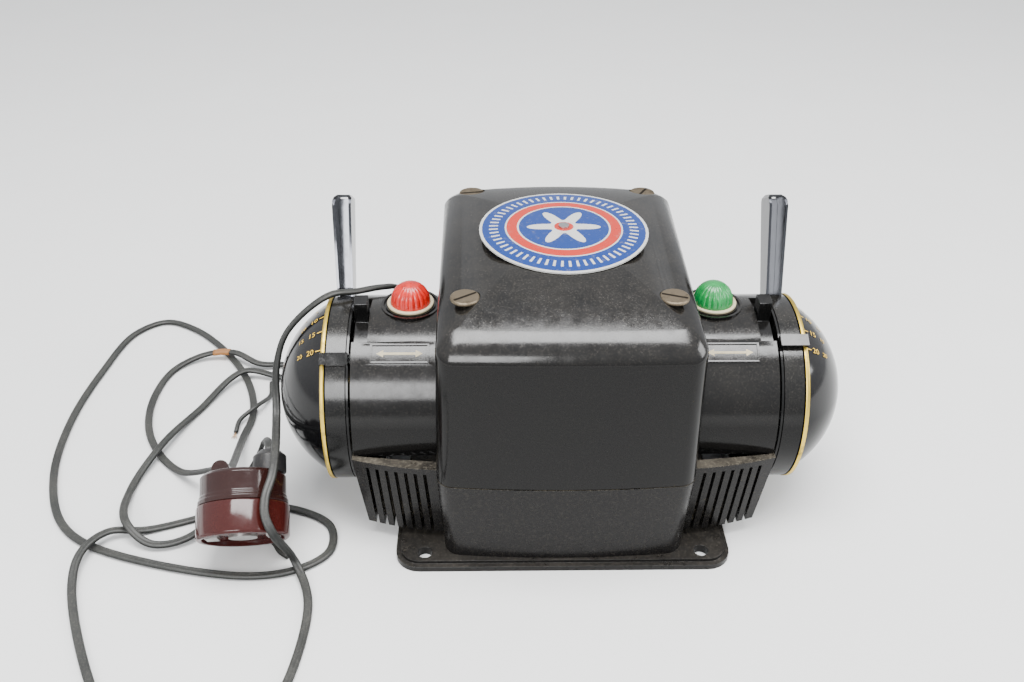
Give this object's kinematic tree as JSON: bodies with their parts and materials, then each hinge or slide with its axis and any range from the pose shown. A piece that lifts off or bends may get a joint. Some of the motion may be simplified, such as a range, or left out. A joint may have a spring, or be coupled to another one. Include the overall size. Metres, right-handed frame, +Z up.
{
  "type": "train set controller",
  "caption": "Bench controller for a model railway: black moulded housing, control drums with tall steel levers, signal lamps and a long twin cord with an outlet.",
  "frame": {"origin": "centre of the base plate's four mounting holes, on its underside", "axes": "+X to the right across the two drums, -Y to the front, +Z up"},
  "size_m": [0.4964, 0.3968, 0.1724],
  "materials": {
    "black_bakelite": "moulded phenolic, dusty on top",
    "base_paint": "black enamel, dusty",
    "steel": "polished sheet steel, worn",
    "screw_brass": "dull, tarnished",
    "brass": "turned brass",
    "badge": "printed enamel on thin metal",
    "lens_red": "fluted jewel, red",
    "lens_green": "fluted jewel, green",
    "lamp_ring": "cream, worn",
    "bulb_glass": "clear",
    "iron": "stacked steel sheet",
    "winding": "varnished winding",
    "board": "fibre board",
    "carbon": "carbon",
    "cord_cover": "dull dark grey",
    "outlet_red": "red-brown phenolic",
    "outlet_brown": "dark brown phenolic",
    "plug_black": "black"
  },
  "bodies": {
    "body": {"base_plate": "base_paint", "base_screws": "steel", "lower_housing": "black_bakelite", "cover": "black_bakelite", "cover_screws": "screw_brass", "badge": "badge", "badge_rivet": "steel", "lamp_lens_red": "lens_red", "lamp_lens_green": "lens_green", "lamp_rings": "lamp_ring", "lamp_bulbs": "bulb_glass", "lamp_sockets": "brass", "core_laminations": "iron", "core_clamps": "steel", "core_bolts": "steel", "coil_left": "winding", "coil_right": "winding", "contact_boards": "board", "inner_frames": "steel", "outer_brackets": "steel", "bushings": "brass", "spindles": "steel", "dome_left": "black_bakelite", "dome_right": "black_bakelite", "circuit_breaker": "black_bakelite", "terminal_board": "board", "binding_posts": "brass", "thumb_nuts": "brass", "cord_gland": "plug_black", "rocker_springs": "steel", "cord_main": "cord_cover", "cord_loop": "cord_cover", "cord_lead": "cord_cover", "cord_stub": "cord_cover", "outlet_base": "outlet_red", "outlet_cover": "outlet_brown", "outlet_contacts": "steel", "rear_plug": "plug_black"},
    "main_control_left": {"handle_ring_left": "black_bakelite", "handle_left": "steel", "handle_rivets_left": "steel", "main_sleeve_left": "brass", "main_arm_left": "brass", "main_brush_left": "carbon"},
    "tab_control_left": {"tab_disc_left": "black_bakelite", "tab_sleeve_left": "brass", "tab_arm_left": "brass", "tab_brush_left": "carbon"},
    "rocker_left_body": {"rocker_left": "black_bakelite"},
    "main_control_right": {"handle_ring_right": "black_bakelite", "handle_right": "steel", "handle_rivets_right": "steel", "main_sleeve_right": "brass", "main_arm_right": "brass", "main_brush_right": "carbon"},
    "tab_control_right": {"tab_disc_right": "black_bakelite", "tab_sleeve_right": "brass", "tab_arm_right": "brass", "tab_brush_right": "carbon"},
    "rocker_right_body": {"rocker_right": "black_bakelite"}
  },
  "joints": [
    {"name": "main_turn_left", "type": "hinge", "parent": "body", "child": "main_control_left", "pos_m": [0, -0.003, 0.069], "axis": [1, 0, 0], "range_deg": [-90, 0]},
    {"name": "tab_turn_left", "type": "hinge", "parent": "body", "child": "tab_control_left", "pos_m": [0, -0.003, 0.069], "axis": [1, 0, 0], "range_deg": [-30, 60]},
    {"name": "rocker_turn_left", "type": "hinge", "parent": "body", "child": "rocker_left_body", "pos_m": [0, -0.003, 0.069], "axis": [1, 0, 0], "range_deg": [-12, 12], "stiffness_Nm_per_rad": 0.6},
    {"name": "main_turn_right", "type": "hinge", "parent": "body", "child": "main_control_right", "pos_m": [0, -0.003, 0.069], "axis": [1, 0, 0], "range_deg": [-90, 0]},
    {"name": "tab_turn_right", "type": "hinge", "parent": "body", "child": "tab_control_right", "pos_m": [0, -0.003, 0.069], "axis": [1, 0, 0], "range_deg": [-20, 70]},
    {"name": "rocker_turn_right", "type": "hinge", "parent": "body", "child": "rocker_right_body", "pos_m": [0, -0.003, 0.069], "axis": [1, 0, 0], "range_deg": [-12, 12], "stiffness_Nm_per_rad": 0.6}
  ]
}
